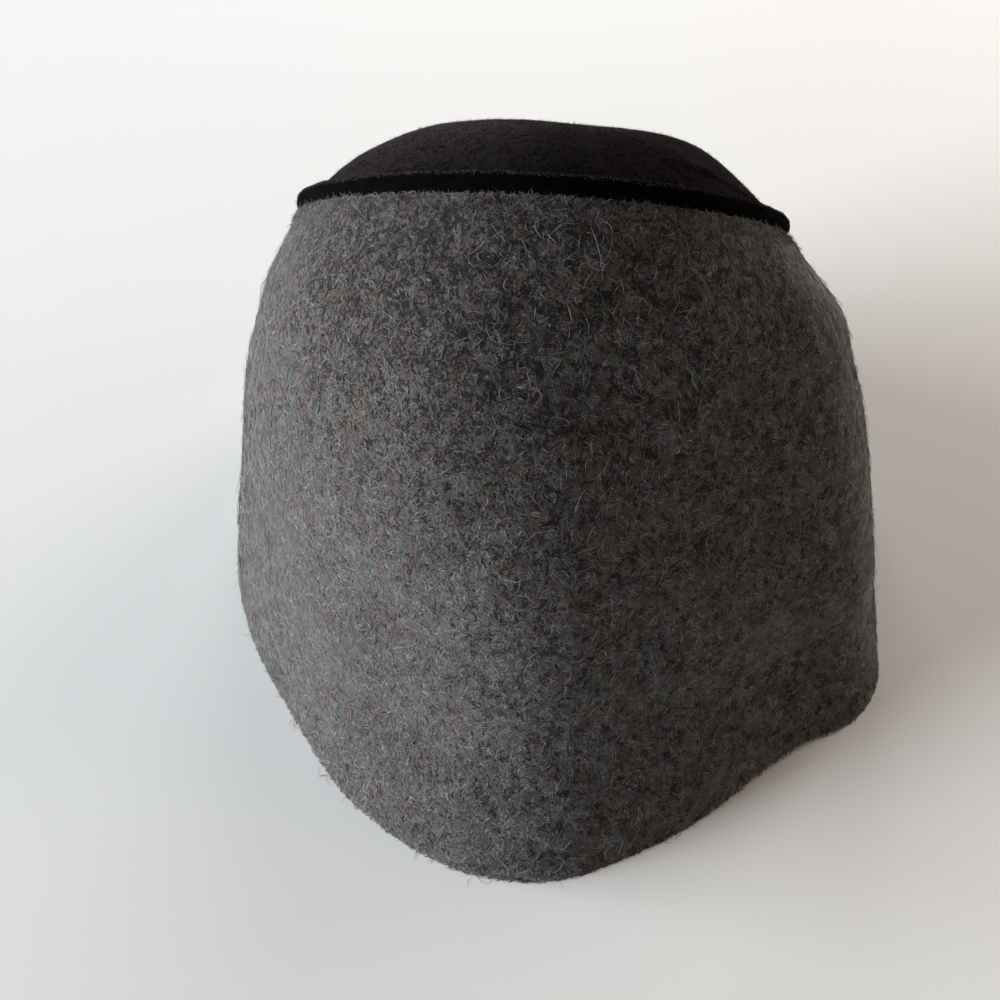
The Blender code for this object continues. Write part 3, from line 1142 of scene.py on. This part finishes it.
@dataclass
class CrownTip(FeltPart):
    """The black dome: one layer of fine felt that closes the crown."""

    edge: CrownEdge
    felt: float = 0.0025
    rise: float = 0.0220
    fullness: float = 3.9
    top_angle: float = math.radians(88.65)
    turns: int = 240
    rings: int = 60
    inner_rings: int = 20
    relief: float = 0.0003
    lump_grain: float = 0.016
    pebble_grain: float = 0.005
    pebble_share: float = 0.35
    dent_fade: float = 0.08
    dents: Table = (
        # across, along (towards the low side), push, spread across, spread along, all in millimetres
        (2.0, -30.0, -0.8, 14.0, 26.0),
        (37.0, -24.0, 1.2, 12.0, 26.0),
        (55.0, -14.0, -0.7, 7.0, 20.0),
        (-50.0, -10.0, -0.7, 8.0, 20.0),
        (47.0, -44.0, -0.7, 10.0, 3.0),
        (44.0, -50.0, 0.6, 12.0, 2.5),
    )
    crease: Table = (
        # turn from the front, share of the dome's radius
        (27.0, 0.900), (34.0, 0.916), (46.0, 0.948), (52.5, 0.974), (61.0, 0.990),
    )
    crease_height: float = 0.0007
    crease_spread: float = 0.0006
    crease_fade: float = 3.0
    crease_rings: tuple[float, ...] = (-0.9, 0.0, 0.9)

    NODE: ClassVar[str] = "crown_tip"
    SLOT: ClassVar[str] = "black_felt"
    FINISH: ClassVar[FeltFinish] = BLACK_FELT
    NAP: ClassVar[FibreCrop] = FibreCrop(
        Lie.FLAT, 24000, length=(0.0008, 0.0022), width=(0.00018, 0.00034), tints=BLACK_WOOL,
        lift=(0.0, 0.0002), rise=(-0.03, 0.03), twist=0.14, mottle=Mottle(((0.0014, 3.0), (0.0045, 2.2))),
    )
    PILE: ClassVar[FibreCrop] = FibreCrop(
        Lie.RAISED, 7000, length=(0.0004, 0.0009), width=(0.00006, 0.00011), tints=BLACK_WOOL,
        rise=(0.4, 1.4),
    )
    # Fuzz along the crease: the fuzz is real, its grey tint is painted highlight.
    CREASE_FUZZ: ClassVar[FibreCrop] = FibreCrop(
        Lie.RAISED, 900, length=(0.0004, 0.0012), width=(0.00008, 0.00016), tints=CREASE_WOOL,
        lift=(-0.0001, 0.0001), rise=(0.05, 0.5),
    )

    def crease_share(self, turns: np.ndarray) -> np.ndarray:
        """Return the crease's share of the radius at each turn in degrees."""
        return smooth_table(self.crease, np.clip(turns, self.crease[0][0], self.crease[-1][0]))[:, 0]

    def crease_strip(self) -> tuple[np.ndarray, np.ndarray]:
        """Cut the narrow strip of the dome's face that the crease's fuzz stands on.

        Returns:
            The strip's points and its normals, each as three rows.
        """
        step = FULL_TURN / self.turns
        columns = np.arange(round(self.crease[0][0] / step), round(self.crease[-1][0] / step) + 1)
        angle = np.arccos(self.crease_share(columns * step))
        place = angle / self.top_angle * (self.rings - 1)
        normals = grid_normals(self.face)
        strip_points, strip_normals = [], []
        for aside in self.crease_rings:
            low = np.floor(place + aside).astype(int)
            share = (place + aside - low)[:, None]
            strip_points.append(self.face[low, columns] * (1 - share) + self.face[low + 1, columns] * share)
            strip_normals.append(normals[low, columns])
        return np.array(strip_points), np.array(strip_normals)

    def build(self) -> None:
        """Build the dome: its two faces, which meet in a flat foot on the edge."""
        foot = self.edge.height + 2 * self.edge.gap
        radius = self.form.seam_radius + self.edge.reach - self.edge.ledge
        outer = self.form.on_seam(self._dome(radius, self.rise, foot, self.rings))
        thin_rise = self.rise - self.felt
        inner = self.form.on_seam(self._dome(radius - self.felt, thin_rise, foot, self.inner_rings))
        bumps = soft_noise(outer, self.lump_grain, NoisePatch.DOME_LUMPS)
        bumps += self.pebble_share * soft_noise(outer, self.pebble_grain, NoisePatch.DOME_PEBBLES)
        self.face = outer + grid_normals(outer) * (bumps * self.relief)[:, :, None]
        self.complete(self._capped(np.concatenate([inner[::-1], self.face])))

    def dress(self) -> None:
        """Grow the dome's nap and pile, and the fuzz along its crease, whose grey tint paints the light it
        catches.
        """
        self.grow("dome_nap", self.face, grid_normals(self.face), (self.NAP, self.PILE), seed=61)
        strip, normals = self.crease_strip()
        self.grow("dome_crease_highlight", strip, normals, (self.CREASE_FUZZ,), seed=83, closed=False)

    def _capped(self, rings: np.ndarray) -> bpy.types.Object:
        """Join the rings, and close the small hole at the top of each face with a fan.

        Args:
            rings: Rings of points, from the inner top down to the foot and up to the outer top.

        Returns:
            The piece.
        """
        points = rings.reshape(-1, 3)
        count = len(points)
        tops = np.array([points[: self.turns].mean(axis=0), points[-self.turns :].mean(axis=0)])
        around = np.arange(self.turns)
        beside = (around + 1) % self.turns
        last = count - self.turns
        inner = np.stack([beside, around, np.full_like(around, count)], axis=1)
        outer = np.stack([last + around, last + beside, np.full_like(around, count + 1)], axis=1)
        quads = tube_faces(len(rings), self.turns, closed_rows=False)
        every = quads.tolist() + inner.tolist() + outer.tolist()
        return new_mesh_piece("dome", np.concatenate([points, tops]).tolist(), every)

    def _dome(self, radius: float, rise: float, foot: float, rings: int) -> np.ndarray:
        """Shape one face of the dome, in the seam's own place.

        Args:
            radius: The dome's radius at its foot.
            rise: The dome's height above its foot.
            foot: Level of the foot above the seam.
            rings: Number of rings.

        Returns:
            Rings of points from the foot to near the top.
        """
        shares = np.cos(np.linspace(0.0, self.top_angle, rings))
        degrees = np.arange(self.turns) * FULL_TURN / self.turns
        turns = np.radians(degrees)
        past_ends = np.minimum(degrees - self.crease[0][0], self.crease[-1][0] - degrees)
        fade = np.clip(past_ends / self.crease_fade + 1.0, 0.0, 1.0)
        rows = []
        for share in shares:
            across, along = radius * share * np.sin(turns), -radius * share * np.cos(turns)
            gap = (share - self.crease_share(degrees)) * radius
            height = foot + rise * (1.0 - share**self.fullness)
            height = height + self.crease_height * fade * bell(gap, self.crease_spread)
            for dent_across, dent_along, push, wide, deep in self.dents:
                beside = bell(across - dent_across * MILLIMETRE, wide * MILLIMETRE)
                before = bell(along - dent_along * MILLIMETRE, deep * MILLIMETRE)
                near_foot = min(1.0, (1.0 - share) / self.dent_fade)
                height = height + push * MILLIMETRE * beside * before * near_foot
            rows.append(np.stack([across, along, height], axis=1))
        return np.array(rows)


@dataclass(frozen=True)
class Lamp:
    """A soft rectangular studio light."""

    name: str
    place: tuple[float, float, float]
    wide: float
    high: float
    watts: float
    colour: Colour


@dataclass
class Studio:
    """The plain pale floor, the soft lights and the camera at the photograph's angle."""

    camera_height: float = 0.370
    camera_back: float = 0.2718
    camera_left: float = 0.019
    camera_tilt: float = math.radians(51.3)
    camera_roll: float = math.radians(-0.5)
    lens: float = 48.96
    sensor: float = 36.0
    floor_half: float = 1.5
    floor_colour: Colour = (0.95, 0.95, 0.95)
    floor_roughness: float = 0.7
    sky_band: Table = (
        # sine of the height above the horizon, brightness
        (0.02, 0.62), (0.10, 0.45), (0.22, 0.16), (0.45, 0.02),
    )
    light_aim: tuple[float, float, float] = (0.0, 0.0, 0.05)
    lamps: tuple[Lamp, ...] = (
        Lamp("window_left", (-2.55, 0.45, 0.416), 1.2, 0.6, 76.0, (0.94, 0.98, 1.0)),
        Lamp("window_front_left", (-2.49, -0.67, 0.552), 1.2, 0.6, 113.0, (0.94, 0.98, 1.0)),
        Lamp("back", (0.0, 1.272, 0.390), 0.6, 0.3, 5.8, (1.0, 1.0, 1.0)),
        Lamp("back_right", (0.796, 0.796, 0.650), 0.6, 0.6, 5.4, (1.0, 0.90, 0.79)),
        Lamp("right", (1.178, 0.0, 0.549), 0.6, 0.6, 3.2, (1.0, 0.78, 0.60)),
    )

    def build(self) -> None:
        """Set the floor, lights, sky and camera."""
        self._floor()
        self._sky()
        for lamp in self.lamps:
            self._light(lamp)
        self._camera()
        bpy.context.scene.view_settings.view_transform = "Standard"

    def _floor(self) -> None:
        """Lay the pale floor."""
        half = self.floor_half
        corners = [(-half, -half, 0.0), (half, -half, 0.0), (half, half, 0.0), (-half, half, 0.0)]
        floor = new_mesh_piece("studio_floor", corners, [(0, 1, 2, 3)])
        material = bpy.data.materials.new("pale_floor")
        material.use_nodes = True
        shader = material.node_tree.nodes["Principled BSDF"]
        shader.inputs["Base Color"].default_value = (*self.floor_colour, 1.0)
        shader.inputs["Roughness"].default_value = self.floor_roughness
        floor.data.materials.append(material)

    def _sky(self) -> None:
        """Put a pale band along the horizon, which fades to a nearly dark room above."""
        world = bpy.data.worlds.new("studio_sky")
        world.use_nodes = True
        nodes, links = world.node_tree.nodes, world.node_tree.links
        place = nodes.new("ShaderNodeTexCoord")
        split = nodes.new("ShaderNodeSeparateXYZ")
        ramp = nodes.new("ShaderNodeValToRGB")
        ramp.color_ramp.elements[0].position = self.sky_band[0][0]
        ramp.color_ramp.elements[1].position = self.sky_band[-1][0]
        for height, _ in self.sky_band[1:-1]:
            ramp.color_ramp.elements.new(height)
        for stop, (_, level) in zip(ramp.color_ramp.elements, self.sky_band):
            stop.color = (level, level, level, 1.0)
        links.new(place.outputs["Generated"], split.inputs["Vector"])
        links.new(split.outputs["Z"], ramp.inputs["Fac"])
        links.new(ramp.outputs["Color"], nodes["Background"].inputs["Color"])
        nodes["Background"].inputs["Strength"].default_value = 1.0
        bpy.context.scene.world = world

    def _light(self, lamp: Lamp) -> None:
        """Add a soft rectangular light that faces the hat.

        Args:
            lamp: Where the light stands, and its size, power and colour.
        """
        data = bpy.data.lights.new(lamp.name, "AREA")
        data.shape = "RECTANGLE"
        data.size = lamp.wide
        data.size_y = lamp.high
        data.energy = lamp.watts
        data.color = lamp.colour
        light = bpy.data.objects.new(lamp.name, data)
        light.location = lamp.place
        aim = Vector(self.light_aim) - light.location
        light.rotation_euler = aim.to_track_quat("-Z", "Y").to_euler()
        bpy.context.scene.collection.objects.link(light)

    def _camera(self) -> None:
        """Set the camera."""
        data = bpy.data.cameras.new("camera")
        data.lens = self.lens
        data.sensor_width = self.sensor
        camera = bpy.data.objects.new("camera", data)
        turn = Euler((math.pi / 2 - self.camera_tilt, 0.0, 0.0)).to_matrix().to_4x4()
        roll = Matrix.Rotation(self.camera_roll, 4, "Z")
        place = Matrix.Translation((-self.camera_left, -self.camera_back, self.camera_height))
        camera.matrix_world = place @ turn @ roll
        bpy.context.scene.collection.objects.link(camera)
        bpy.context.scene.camera = camera


def main() -> None:
    """Build the hat's pieces in order, then the studio round them."""
    logging.basicConfig(level=logging.INFO, format="%(message)s")
    form, store = HatForm(), WoolStore()
    body = FeltBody(form, store)
    edge = CrownEdge(form, store)
    tip = CrownTip(form, store, edge)
    for part in (body, edge, tip):
        part.build()
    for part in (body, tip, edge):
        part.dress()
    Studio().build()


if __name__ == "__main__":
    main()
